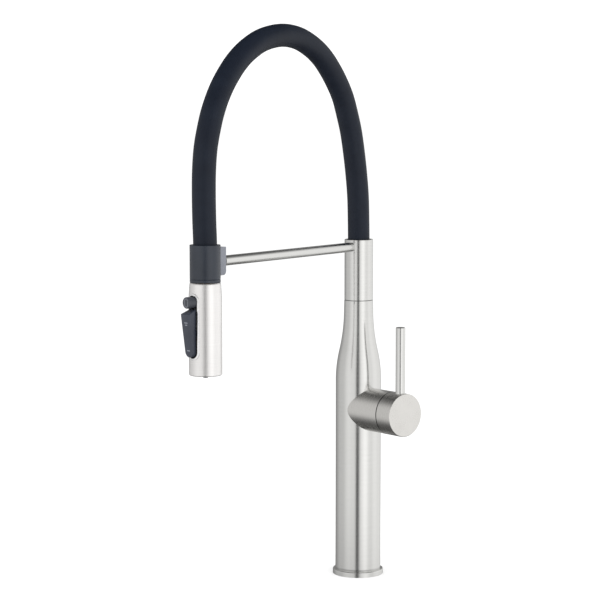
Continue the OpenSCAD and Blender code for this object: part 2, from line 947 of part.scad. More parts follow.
// Flat oval, one unit tall, of radius r with ends 2 * gap apart
module slot_outline(r, gap) {
    linear_extrude(height = 1) {
        for (s = [-1, 1]) translate([s * gap, 0]) circle(r = r, $fn = fine_fn);
        translate([-gap, -r]) square([2 * gap, 2 * r]);
    }
}

deck_gasket();
base_flange();
base_manifold();
hot_riser();
cold_riser();
lower_body();
valve_block();
cartridge_housing();
valve_stub();
cartridge_seals();
cartridge_base();
fixed_disc();
cartridge_case();
cartridge_nut();
bonnet_dome();
outlet_riser();
swivel_spigot();
swivel_o_rings();
slip_washer();
swivel_clip();
mixer_carrier();
stem_pin();
moving_disc();
mixer_stem();
handle_cap();
lever_pin();
handle_screw();
upper_column();
column_bush();
hose_socket();
arm_rod();
arm_screw();
dock_neck();
dock_block();
dock_magnet();
hose_sleeve();
hose_spring();
hose_tube();
hose_nipple();
nipple_seal();
hose_collar();
collar_ring();
head_shell();
head_nut();
head_filter();
check_valve();
head_core();
control_bezel();
control_housing();
button_spring();
rocker_pin();
spray_plate();
nozzle_mat();
jet_nozzle();
spray_rocker();
pause_button();
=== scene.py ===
import math

import bmesh
import bpy
from mathutils import Matrix, Vector


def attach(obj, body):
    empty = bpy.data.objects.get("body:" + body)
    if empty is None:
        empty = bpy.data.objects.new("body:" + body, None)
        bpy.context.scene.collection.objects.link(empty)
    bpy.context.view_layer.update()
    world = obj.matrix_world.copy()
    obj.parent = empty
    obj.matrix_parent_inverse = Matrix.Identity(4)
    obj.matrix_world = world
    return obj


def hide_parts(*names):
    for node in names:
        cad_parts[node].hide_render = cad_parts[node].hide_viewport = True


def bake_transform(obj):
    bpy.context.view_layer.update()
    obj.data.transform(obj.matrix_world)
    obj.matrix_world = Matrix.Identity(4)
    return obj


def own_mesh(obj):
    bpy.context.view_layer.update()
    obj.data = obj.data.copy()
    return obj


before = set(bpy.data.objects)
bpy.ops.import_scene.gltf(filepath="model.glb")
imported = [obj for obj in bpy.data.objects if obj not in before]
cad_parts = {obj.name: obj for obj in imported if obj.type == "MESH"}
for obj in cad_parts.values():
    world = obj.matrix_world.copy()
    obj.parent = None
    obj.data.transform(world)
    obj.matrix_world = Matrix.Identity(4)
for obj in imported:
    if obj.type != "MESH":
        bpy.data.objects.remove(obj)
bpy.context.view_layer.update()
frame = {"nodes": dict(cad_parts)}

# Lengths are in metres, in the part's own frame: the origin is the centre of
# the seat on the deck, +Z is up and the docking arm points along -Y.

MM = 0.001

# Camera
CAMERA_PLACE = (1.1988, -1.7395, 0.5091)
CAMERA_HEADING = (-0.5913, 0.8064)
CAMERA_DIP = math.radians(5.854)
CAMERA_LENS = 120.7

# Turns of the hub and of the spray head about the vertical
HUB_TURN = math.radians(-14.4)
HEAD_TURN = math.radians(-11)
HUB_HEIGHT = 178.5 * MM
# Where the painted shade of the seam starts on the stub, along the hub's axis
SEAM_SHADE_START = 52.7 * MM
REACH = 257 * MM

# Heights and radii that several pieces share
COLLAR_R = 14.75 * MM
BUTTON_HEIGHT = 312.6 * MM
DOCK_HEIGHT = 349.5 * MM

# Hose route, as distance out from the column and height, in millimetres
ROUTE = [
    (0, 352), (0.5, 374.5), (1.5, 399), (4, 419.5), (8.5, 444), (14.5, 468.5),
    (21, 486), (29, 504), (39, 518.5), (52, 533), (67, 546), (85.5, 556.5),
    (109.5, 564.5), (136.5, 566.5), (166, 561.5), (189.5, 551.5), (207.5, 539.5),
    (222.5, 525), (234, 510.5), (243.5, 494), (250, 477.5), (255.5, 458),
    (258, 436.5), (258.5, 414), (258, 389.5), (257, 369.5), (257, 352),
]

# Colour bands of the reflector tent: turn from the camera's side, brightness
TENT_BANDS = [
    (-180, 0.30), (-160, 0.34), (-140, 0.46), (-118, 0.70), (-98, 0.74),
    (-84, 0.77), (-68, 0.97), (-52, 1.08), (-36, 1.03), (-20, 1.03), (-13, 0.84),
    (-7, 0.14), (2.5, 0.14), (8, 0.68), (16, 1.14), (24, 1.24), (36, 1.44),
    (46, 1.40), (60, 1.10), (75, 1.03), (87, 1.16), (101, 1.18), (114, 1.10),
    (140, 1.00), (158, 0.62), (168, 0.26), (180, 0.30),
]


# ---------- meshes ----------

def piece_from(name, verts, faces):
    """A new mesh object with outward faces."""
    mesh = bpy.data.meshes.new(name)
    mesh.from_pydata(verts, [], faces)
    made = bmesh.new()
    made.from_mesh(mesh)
    bmesh.ops.recalc_face_normals(made, faces=made.faces)
    made.to_mesh(mesh)
    made.free()
    piece = bpy.data.objects.new(name, mesh)
    bpy.context.scene.collection.objects.link(piece)
    return piece


def apply_modifiers(piece):
    """Replaces the piece's mesh by its evaluated one."""
    bpy.context.view_layer.update()
    graph = bpy.context.evaluated_depsgraph_get()
    mesh = bpy.data.meshes.new_from_object(piece.evaluated_get(graph))
    piece.modifiers.clear()
    piece.data = mesh


def boolean(piece, tool, operation):
    """Cuts the tool from the piece, or joins it on, and removes the tool."""
    step = piece.modifiers.new("boolean", "BOOLEAN")
    step.operation = operation
    step.solver = "EXACT"
    step.object = tool
    apply_modifiers(piece)
    bpy.data.objects.remove(tool)


def soften(piece, width, segments=3, limit=35):
    """Rounds the piece's sharp edges."""
    step = piece.modifiers.new("bevel", "BEVEL")
    step.width = width
    step.segments = segments
    step.limit_method = "ANGLE"
    step.angle_limit = math.radians(limit)
    apply_modifiers(piece)


def shade(piece, limit=32):
    """Smooth shading, with sharp edges above the limit in degrees."""
    piece.data.shade_smooth()
    piece.data.set_sharp_from_angle(angle=math.radians(limit))


def lathe(name, profile, sides=128):
    """Turns a closed profile of (radius, height) points about the Z axis."""
    verts = []
    faces = []
    count = len(profile)
    for k in range(sides):
        a = 2 * math.pi * k / sides
        verts += [(r * math.cos(a), r * math.sin(a), z) for r, z in profile]
    for k in range(sides):
        here = k * count
        after = (k + 1) % sides * count
        for i in range(count):
            j = (i + 1) % count
            faces.append((here + i, after + i, after + j, here + j))
    return piece_from(name, verts, faces)


def rod(name, radius, low, high, sides=96):
    """A closed cylinder about the Z axis."""
    verts = []
    for z in (low, high):
        for k in range(sides):
            a = 2 * math.pi * k / sides
            verts.append((radius * math.cos(a), radius * math.sin(a), z))
    faces = [
        (k, (k + 1) % sides, sides + (k + 1) % sides, sides + k) for k in range(sides)
    ]
    faces.append(tuple(range(sides)))
    faces.append(tuple(range(sides, 2 * sides)))
    return piece_from(name, verts, faces)


def prism(name, outline, low, high):
    """A closed prism along X over an outline of (y, z) points."""
    count = len(outline)
    verts = [(x, y, z) for x in (low, high) for y, z in outline]
    faces = [
        (i, (i + 1) % count, count + (i + 1) % count, count + i) for i in range(count)
    ]
    faces.append(tuple(range(count)))
    faces.append(tuple(range(count, 2 * count)))
    return piece_from(name, verts, faces)


def place(piece, matrix):
    """Moves the piece's mesh, so that the object itself stays at the origin."""
    piece.data.transform(matrix)


HUB_FRAME = (
    Matrix.Rotation(HUB_TURN, 4, "Z")
    @ Matrix.Translation((0, 0, HUB_HEIGHT))
    @ Matrix.Rotation(math.pi / 2, 4, "Y")
    @ Matrix.Rotation(math.pi, 4, "Z")
)
HEAD_FRAME = Matrix.Translation((0, -REACH, 0)) @ Matrix.Rotation(HEAD_TURN, 4, "Z")


# ---------- hose ----------

def on_route(s):
    """The point at s along the route's Catmull-Rom curve, in metres."""
    i = min(int(s), len(ROUTE) - 2)
    t = s - i
    a = Vector(ROUTE[max(i - 1, 0)])
    b = Vector(ROUTE[i])
    c = Vector(ROUTE[i + 1])
    d = Vector(ROUTE[min(i + 2, len(ROUTE) - 1)])
    p = 0.5 * (
        2 * b + (c - a) * t + (2 * a - 5 * b + 4 * c - d) * t * t
        + (3 * b - a - 3 * c + d) * t ** 3
    )
    return Vector((0, -p.x * MM, p.y * MM))


def heading(s):
    """The route's direction at s."""
    return (on_route(min(s + 0.01, len(ROUTE) - 1)) - on_route(max(s - 0.01, 0))).normalized()


SIDEWAYS = Vector((1, 0, 0))
SLEEVE_R = 11.4 * MM
SLEEVE_BORE_R = 9.6 * MM
WATER_TUBE_R = 6.8 * MM
WATER_TUBE_BORE_R = 4.6 * MM
SUPPORT_R = 8.2 * MM
SUPPORT_WIRE_R = 0.8 * MM
SUPPORT_TURNS = 46


def hose_tube(name, outer, inner, sides, steps):
    """A hollow tube that follows the whole route, closed at both ends."""
    count = (len(ROUTE) - 1) * steps + 1
    verts = []
    faces = []
    for i in range(count):
        s = i / steps
        along = heading(s)
        up = along.cross(SIDEWAYS)
        for r in (outer, inner):
            for k in range(sides):
                a = 2 * math.pi * k / sides
                verts.append(on_route(s) + r * (math.cos(a) * SIDEWAYS + math.sin(a) * up))
    for i in range(count - 1):
        for layer in (0, sides):
            for k in range(sides):
                a = i * 2 * sides + layer + k
                b = i * 2 * sides + layer + (k + 1) % sides
                faces.append((a, b, b + 2 * sides, a + 2 * sides))
    for first in (0, (count - 1) * 2 * sides):
        for k in range(sides):
            a = first + k
            b = first + (k + 1) % sides
            faces.append((a, b, b + sides, a + sides))
    return piece_from(name, verts, faces)


def coil(name, centres, outs, alongs, wire, sides=8):
    """A round wire swept along a list of points, closed at both ends."""
    verts = []
    faces = []
    for centre, out, along in zip(centres, outs, alongs):
        for k in range(sides):
            a = 2 * math.pi * k / sides
            verts.append(centre + wire * (math.cos(a) * out + math.sin(a) * along))
    for i in range(len(centres) - 1):
        for k in range(sides):
            a = i * sides + k
            b = i * sides + (k + 1) % sides
            faces.append((a, b, b + sides, a + sides))
    faces.append(tuple(range(sides)))
    faces.append(tuple(range(len(verts) - sides, len(verts))))
    return piece_from(name, verts, faces)


def hose_spring(name):
    """The support spring inside the sleeve."""
    steps = 14
    start = 0.25
    end = len(ROUTE) - 1.25
    centres = []
    outs = []
    alongs = []
    for i in range(SUPPORT_TURNS * steps + 1):
        s = start + (end - start) * i / (SUPPORT_TURNS * steps)
        a = 2 * math.pi * i / steps
        along = heading(s)
        out = math.cos(a) * SIDEWAYS + math.sin(a) * along.cross(SIDEWAYS)
        centres.append(on_route(s) + SUPPORT_R * out)
        outs.append(out)
        alongs.append(along)
    return coil(name, centres, outs, alongs, SUPPORT_WIRE_R)


def bend_hose(piece):
    """Bakes the hose piece's placement into its mesh."""
    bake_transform(piece)


def make_hose(silicone, inner_plastic, spring_steel):
    sleeve = hose_tube("sleeve", SLEEVE_R, SLEEVE_BORE_R, 48, 6)
    shade(sleeve)
    dress(sleeve, silicone)
    bend_hose(sleeve)
    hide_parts("hose_sleeve")

    tube = hose_tube("water_tube", WATER_TUBE_R, WATER_TUBE_BORE_R, 24, 3)
    shade(tube)
    dress(tube, inner_plastic)
    bend_hose(tube)
    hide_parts("hose_tube")

    spring = hose_spring("support_spring")
    shade(spring)
    dress(spring, spring_steel)
    bend_hose(spring)
    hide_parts("hose_spring")


# ---------- body ----------

BODY_R = 24 * MM
BODY_WALL = 2 * MM
NECK_R = 15.4 * MM
NECK_TOP_R = 15.17 * MM
BODY_LOW = 5.3 * MM
SHOULDER_LOW = 208 * MM
SHOULDER_HIGH = 283 * MM
BODY_TOP = 292.7 * MM
CONVEX_SHARE = 0.42
HUB_HOLE_R = 20.5 * MM


def body_radius(z):
    """Outer radius of the lower body at a height."""
    turn = 2 * math.atan((BODY_R - NECK_R) / (SHOULDER_HIGH - SHOULDER_LOW))
    arcs = (SHOULDER_HIGH - SHOULDER_LOW) / math.sin(turn)
    convex = CONVEX_SHARE * arcs
    concave = arcs - convex
    if z <= SHOULDER_LOW:
        return BODY_R
    if z < SHOULDER_LOW + convex * math.sin(turn):
        return BODY_R - convex + math.sqrt(convex ** 2 - (z - SHOULDER_LOW) ** 2)
    if z < SHOULDER_HIGH:
        return NECK_R + concave - math.sqrt(concave ** 2 - (SHOULDER_HIGH - z) ** 2)
    share = (z - SHOULDER_HIGH) / (BODY_TOP - SHOULDER_HIGH)
    return NECK_R + (NECK_TOP_R - NECK_R) * share


def body_heights():
    """Heights of the lower body's rings, closer together where it matters."""
    plain = [BODY_LOW, BODY_LOW + 3 * MM, 30 * MM, 60 * MM, 90 * MM, 120 * MM, 140 * MM]
    near_hub = [(150 + 3 * i) * MM for i in range(19)]
    shoulder = [SHOULDER_LOW + (SHOULDER_HIGH - SHOULDER_LOW) * i / 60 for i in range(61)]
    return plain + near_hub + shoulder + [BODY_TOP]


def make_body(steel):
    heights = body_heights()
    outside = [(body_radius(z), z) for z in heights]
    inside = [(r - BODY_WALL, z) for r, z in reversed(outside)]
    body = lathe("body_tube", outside + inside, 144)
    hole = rod("hole", HUB_HOLE_R, 5 * MM, 40 * MM, 96)
    place(hole, HUB_FRAME)
    boolean(body, hole, "DIFFERENCE")
    soften(body, 0.3 * MM, 2, 50)
    shade(body)
    dress(body, steel)
    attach(body, "body")
    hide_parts("lower_body")


# ---------- dock, collar and controls ----------

def make_dock(plastic):
    half_width = 6.5 * MM
    back = -REACH + 24 * MM
    front = -REACH + 12 * MM
    low = 336.5 * MM
    high = 363.5 * MM
    chamfer_depth = 3.5 * MM
    chamfer_height = 6.5 * MM
    corner = 4 * MM
    seat_r = COLLAR_R + 0.3 * MM
    pocket_r = 4 * MM
    outline = [
        (back, high), (front, high),
        (front, low + chamfer_height), (front + chamfer_depth, low),
    ]
    for i in range(13):
        a = math.radians(-90 + 7.5 * i)
        y = back - corner + corner * math.cos(a)
        z = low + corner + corner * math.sin(a)
        outline.append((y, z))
    block = prism("dock", outline, -half_width, half_width)
    seat = rod("seat", seat_r, low - corner, high + corner, 144)
    place(seat, Matrix.Translation((0, -REACH, 0)))
    boolean(block, seat, "DIFFERENCE")
    pocket = rod("pocket", pocket_r, 236.5 * MM, 240 * MM, 48)
    level = Matrix.Rotation(math.pi / 2, 4, "X")
    place(pocket, Matrix.Translation((0, 0, DOCK_HEIGHT)) @ level)
    boolean(block, pocket, "DIFFERENCE")
    soften(block, 0.45 * MM)
    shade(block, 30)
    dress(block, plastic)
    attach(block, "spout")
    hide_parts("dock_block")


def make_collar(plastic):
    low = 331 * MM
    floor_top = 334 * MM
    high = 366.5 * MM
    rim_low = high - 3 * MM
    bore_r = 7.5 * MM
    rim_r = 11.8 * MM
    inner_r = 13.2 * MM
    line = 333.6 * MM
    line_r = COLLAR_R - 0.3 * MM
    profile = [
        (bore_r, low), (COLLAR_R, low),
        (COLLAR_R, line), (line_r, line + 0.15 * MM),
        (line_r, line + 0.55 * MM), (COLLAR_R, line + 0.7 * MM),
        (COLLAR_R, high), (rim_r, high), (rim_r, rim_low),
        (inner_r, rim_low), (inner_r, floor_top), (bore_r, floor_top),
    ]
    collar = lathe("collar", profile, 128)
    place(collar, Matrix.Translation((0, -REACH, 0)))
    soften(collar, 0.25 * MM, 3, 60)
    shade(collar)
    dress(collar, plastic)
    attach(collar, "hose_end")
    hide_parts("hose_collar")


# The rocker's base, and its sloping face in a frame with y = 0 on the face and
# z = 0 at its top
BASE_BACK = -15.4 * MM
BASE_HALF_WIDTH = 4.2 * MM
BASE_LOW = 260.4 * MM
BASE_TOP = 306 * MM
TOP_SLOPE = 0.448
FACE_FRAME = (
    Matrix.Translation((0, -25 * MM, 301.7 * MM))
    @ Matrix.Rotation(math.radians(6.6), 4, "X")
)
FACE_HALF_WIDTH = 6.3 * MM
FACE_LENGTH = 41.5 * MM
FACE_LOW_R = 5.2 * MM
PIVOT_DEPTH = -9 * MM
PIVOT_HEIGHT = 283 * MM


def wedge_points():
    """Corner points of the rocker's wedge before its top is cut."""
    points = []
    high = BASE_TOP + 5 * MM
    for y in (BASE_BACK - 1 * MM, BASE_BACK):
        for centre in (BASE_LOW + BASE_HALF_WIDTH, high - BASE_HALF_WIDTH):
            for k in range(64):
                a = 2 * math.pi * k / 64
                x = BASE_HALF_WIDTH * math.cos(a)
                points.append(Vector((x, y, centre + BASE_HALF_WIDTH * math.sin(a))))
    for y in (0, 0.8 * MM):
        for x in (-FACE_HALF_WIDTH, FACE_HALF_WIDTH):
            for z in (-4 * MM, 0):
                points.append(FACE_FRAME @ Vector((x, y, z)))
        for k in range(64):
            a = 2 * math.pi * k / 64
            x = FACE_LOW_R * math.cos(a)
            z = FACE_LOW_R * math.sin(a) + FACE_LOW_R - FACE_LENGTH
            points.append(FACE_FRAME @ Vector((x, y, z)))
    return points


def wedge_body():
    """The rocker's wedge, in the spray head's own frame."""
    made = bmesh.new()
    for point in wedge_points():
        made.verts.new(point)
    hull = bmesh.ops.convex_hull(made, input=made.verts)
    loose = [v for v in hull["geom_interior"] if isinstance(v, bmesh.types.BMVert)]
    bmesh.ops.delete(made, geom=loose, context="VERTS")
    cut = bmesh.ops.bisect_plane(
        made, geom=made.verts[:] + made.edges[:] + made.faces[:],
        plane_co=(0, BASE_BACK, BASE_TOP), plane_no=(0, -TOP_SLOPE, 1), clear_outer=True,
    )
    rim = [e for e in cut["geom_cut"] if isinstance(e, bmesh.types.BMEdge)]
    bmesh.ops.edgeloop_fill(made, edges=rim)
    bmesh.ops.dissolve_limit(
        made, angle_limit=math.radians(1.5), verts=made.verts, edges=made.edges
    )
    bmesh.ops.recalc_face_normals(made, faces=made.faces)
    mesh = bpy.data.meshes.new("rocker_wedge")
    made.to_mesh(mesh)
    made.free()
    wedge = bpy.data.objects.new("rocker_wedge", mesh)
    bpy.context.scene.collection.objects.link(wedge)
    return wedge


def across(height, depth):
    """Frame of a cylinder along X at a height and a depth in the head."""
    return Matrix.Translation((0, depth, height)) @ Matrix.Rotation(math.pi / 2, 4, "Y")


def make_rocker(plastic):
    lug_half_width = 1.6 * MM
    lug_front = BASE_BACK - 0.5 * MM
    lug_back = -8.2 * MM
    lug_low = PIVOT_HEIGHT - 3.5 * MM
    lug_high = PIVOT_HEIGHT + 3.5 * MM
    barrel_r = 2.4 * MM
    barrel_half_width = 3 * MM
    pin_hole_r = 1.26 * MM
    wedge = wedge_body()
    soften(wedge, 0.4 * MM, 3, 24)
    web = [
        (lug_front, lug_low), (lug_back, lug_low),
        (lug_back, lug_high), (lug_front, lug_high),
    ]
    lug = prism("lug", web, -lug_half_width, lug_half_width)
    boolean(wedge, lug, "UNION")
    barrel = rod("barrel", barrel_r, -barrel_half_width, barrel_half_width, 48)
    place(barrel, across(PIVOT_HEIGHT, PIVOT_DEPTH))
    boolean(wedge, barrel, "UNION")
    hole = rod("pin_hole", pin_hole_r, -10 * MM, 10 * MM, 48)
    place(hole, across(PIVOT_HEIGHT, PIVOT_DEPTH))
    boolean(wedge, hole, "DIFFERENCE")
    place(wedge, HEAD_FRAME)
    shade(wedge, 28)
    dress(wedge, plastic)
    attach(wedge, "rocker")
    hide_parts("spray_rocker")


def oval_line(name, outer, inner, gap, front, back):
    """An upright oval ring about the Y axis, with its ends 2 * gap apart."""
    verts = []
    faces = []
    sides = 64
    for y in (front, back):
        for r in (outer, inner):
            for k in range(sides):
                a = 2 * math.pi * k / sides
                lift = gap if k < sides / 2 else -gap
                verts.append((r * math.cos(a), y, r * math.sin(a) + lift))
    for first, second in ((0, 1), (1, 3), (3, 2), (2, 0)):
        for k in range(sides):
            after = (k + 1) % sides
            faces.append((
                first * sides + k, first * sides + after,
                second * sides + after, second * sides + k,
            ))
    return piece_from(name, verts, faces)


# Bars on the rocker: drop below the face's top, and half width
ROCKER_BARS = [(8.1 * MM, 2.3 * MM), (10.2 * MM, 1.6 * MM), (35.0 * MM, 2.1 * MM)]
BAR_HALF_HEIGHT = 0.4 * MM
BAR_FRONT = -0.03 * MM
BAR_BACK = 0.3 * MM


def make_marks(paint):
    """Plain light marks: bars on the rocker and an oval line on the button."""
    for index, (drop, half_width) in enumerate(ROCKER_BARS):
        low = -drop - BAR_HALF_HEIGHT
        high = -drop + BAR_HALF_HEIGHT
        outline = [(BAR_FRONT, low), (BAR_FRONT, high), (BAR_BACK, high), (BAR_BACK, low)]
        bar = prism("rocker_mark_%d" % (index + 1), outline, -half_width, half_width)
        place(bar, HEAD_FRAME @ FACE_FRAME)
        dress(bar, paint)
        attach(bar, "rocker")
    ring = oval_line("button_mark", 2.55 * MM, 2.15 * MM, 1.5 * MM, -23.75 * MM, -23.45 * MM)
    place(ring, HEAD_FRAME @ Matrix.Translation((0, 0, BUTTON_HEIGHT)))
    dress(ring, paint)
    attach(ring, "button")


def make_button_spring(spring_steel):
    radius = 3.5 * MM
    wire_r = 0.22 * MM
    start = -12.7 * MM
    end = -9.1 * MM
    turns = 3
    steps = 24
    centres = []
    outs = []
    alongs = []
    turn = HEAD_FRAME.to_3x3()
    for i in range(turns * steps + 1):
        a = 2 * math.pi * i / steps
        out = Vector((math.cos(a), 0, -math.sin(a)))
        y = start + (end - start) * i / (turns * steps)
        centres.append(HEAD_FRAME @ (Vector((0, y, BUTTON_HEIGHT)) + radius * out))
        outs.append(turn @ out)
        alongs.append(turn @ Vector((0, 1, 0)))
    spring = coil("return_spring", centres, outs, alongs, wire_r)
    shade(spring)
    dress(spring, spring_steel)
    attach(spring, "spray_head")
    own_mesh(spring)
    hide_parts("button_spring")


# ---------- materials ----------

def dress(piece, material):
    """Gives the piece its material."""
    piece.data.materials.clear()
    piece.data.materials.append(material)


def new_material(name):
    """An empty node material with its shader, and the object's coordinates."""
    material = bpy.data.materials.new(name)
    material.use_nodes = True
    nodes = material.node_tree.nodes
    shader = nodes["Principled BSDF"]
    place_node = nodes.new("ShaderNodeTexCoord")
    return material, shader, place_node.outputs["Object"]


def stretched_noise(material, coords, scale, detail=3.0, turn=0.0):
    """Noise in the object's frame, with its own scale along each axis."""
    nodes = material.node_tree.nodes
    links = material.node_tree.links
    turned = nodes.new("ShaderNodeMapping")
    turned.inputs["Rotation"].default_value = (0, 0, turn)
    links.new(coords, turned.inputs["Vector"])
    mapping = nodes.new("ShaderNodeMapping")
    mapping.inputs["Scale"].default_value = scale
    links.new(turned.outputs["Vector"], mapping.inputs["Vector"])
    noise = nodes.new("ShaderNodeTexNoise")
    noise.inputs["Scale"].default_value = 1.0
    noise.inputs["Detail"].default_value = detail
    noise.inputs["Roughness"].default_value = 0.6
    links.new(mapping.outputs["Vector"], noise.inputs["Vector"])
    return noise.outputs["Fac"]


def spread(material, value, low, high):
    """Maps noise to a range of numbers."""
    nodes = material.node_tree.nodes
    step = nodes.new("ShaderNodeMapRange")
    step.inputs["From Min"].default_value = 0.3
    step.inputs["From Max"].default_value = 0.7
    step.inputs["To Min"].default_value = low
    step.inputs["To Max"].default_value = high
    material.node_tree.links.new(value, step.inputs["Value"])
    return step.outputs["Result"]


def tint(material, value, dark, light):
    """Maps noise to a range of colours."""
    ramp = material.node_tree.nodes.new("ShaderNodeValToRGB")
    ramp.color_ramp.elements[0].position = 0.3
    ramp.color_ramp.elements[0].color = (*dark, 1)
    ramp.color_ramp.elements[1].position = 0.7
    ramp.color_ramp.elements[1].color = (*light, 1)
    material.node_tree.links.new(value, ramp.inputs["Fac"])
    return ramp.outputs["Color"]


def relief(material, shader, value, strength, depth):
    """Bump from noise."""
    bump = material.node_tree.nodes.new("ShaderNodeBump")
    bump.inputs["Strength"].default_value = strength
    bump.inputs["Distance"].default_value = depth
    material.node_tree.links.new(value, bump.inputs["Height"])
    material.node_tree.links.new(bump.outputs["Normal"], shader.inputs["Normal"])


def brushed_steel(name, scale, turn=0.0, base=(0.62, 0.62, 0.61), rough=(0.17, 0.27)):
    """Stainless steel with fine brush lines along the axes of small scale."""
    material, shader, coords = new_material(name)
    links = material.node_tree.links
    lines = stretched_noise(material, coords, scale, 4.0, turn)
    broad = stretched_noise(material, coords, (14, 14, 14), 2.0)
    lighter = tuple(c + 0.06 for c in base)
    shader.inputs["Metallic"].default_value = 1.0
    links.new(tint(material, lines, base, lighter), shader.inputs["Base Color"])
    mix = material.node_tree.nodes.new("ShaderNodeMath")
    mix.operation = "MULTIPLY_ADD"
    mix.inputs[1].default_value = 0.7
    links.new(lines, mix.inputs[0])
    part = material.node_tree.nodes.new("ShaderNodeMath")
    part.operation = "MULTIPLY"
    part.inputs[1].default_value = 0.3
    links.new(broad, part.inputs[0])
    links.new(part.outputs[0], mix.inputs[2])
    links.new(spread(material, mix.outputs[0], *rough), shader.inputs["Roughness"])
    relief(material, shader, lines, 0.12, 0.02 * MM)
    return material


def paint_seam_shade(material):
    """Paints shade on the hub's end under the cap: a near-black, non-metal band stands in for
    the shadow in the seam's gap, so that the seam reads as a line.
    """
    nodes = material.node_tree.nodes
    links = material.node_tree.links
    shader = nodes["Principled BSDF"]
    coords = nodes.new("ShaderNodeTexCoord")
    turned = nodes.new("ShaderNodeMapping")
    turned.inputs["Rotation"].default_value = (0, 0, -HUB_TURN)
    links.new(coords.outputs["Object"], turned.inputs["Vector"])
    split = nodes.new("ShaderNodeSeparateXYZ")
    links.new(turned.outputs["Vector"], split.inputs["Vector"])
    steel = nodes.new("ShaderNodeMath")
    steel.operation = "LESS_THAN"
    steel.inputs[1].default_value = SEAM_SHADE_START
    links.new(split.outputs["X"], steel.inputs[0])
    links.new(steel.outputs[0], shader.inputs["Metallic"])
    paint = shader.inputs["Base Color"].links[0].from_socket
    # Painted shade: past the seam's start the stub is near-black, standing in for the shadow in
    # the gap under the cap
    mix = nodes.new("ShaderNodeMix")
    mix.data_type = "RGBA"
    mix.inputs["A"].default_value = (0.004, 0.004, 0.004, 1)
    links.new(steel.outputs[0], mix.inputs["Factor"])
    links.new(paint, mix.inputs["B"])
    links.new(mix.outputs["Result"], shader.inputs["Base Color"])
    return material


def plain_metal(name, dark, light, rough):
    """Turned or drawn metal with a little variation."""
    material, shader, coords = new_material(name)
    links = material.node_tree.links
    grain = stretched_noise(material, coords, (300, 300, 900), 3.0)
    shader.inputs["Metallic"].default_value = 1.0
    links.new(tint(material, grain, dark, light), shader.inputs["Base Color"])
    links.new(spread(material, grain, *rough), shader.inputs["Roughness"])
    relief(material, shader, grain, 0.15, 0.03 * MM)
    return material


def moulded(name, dark, light, rough, grain_size=0.25 * MM, bump=0.2, ior=1.46):
    """Moulded plastic, rubber or silicone with a fine skin grain."""
    material, shader, coords = new_material(name)
    links = material.node_tree.links
    scale = 1 / grain_size
    grain = stretched_noise(material, coords, (scale, scale, scale), 2.0)
    broad = stretched_noise(material, coords, (45, 45, 45), 3.0)
    links.new(tint(material, broad, dark, light), shader.inputs["Base Color"])
    links.new(spread(material, grain, *rough), shader.inputs["Roughness"])
    shader.inputs["IOR"].default_value = ior
    relief(material, shader, grain, bump, 0.02 * MM)
    return material


# Noise scales across and along the brush lines
FINE = 2400
LONG = 45


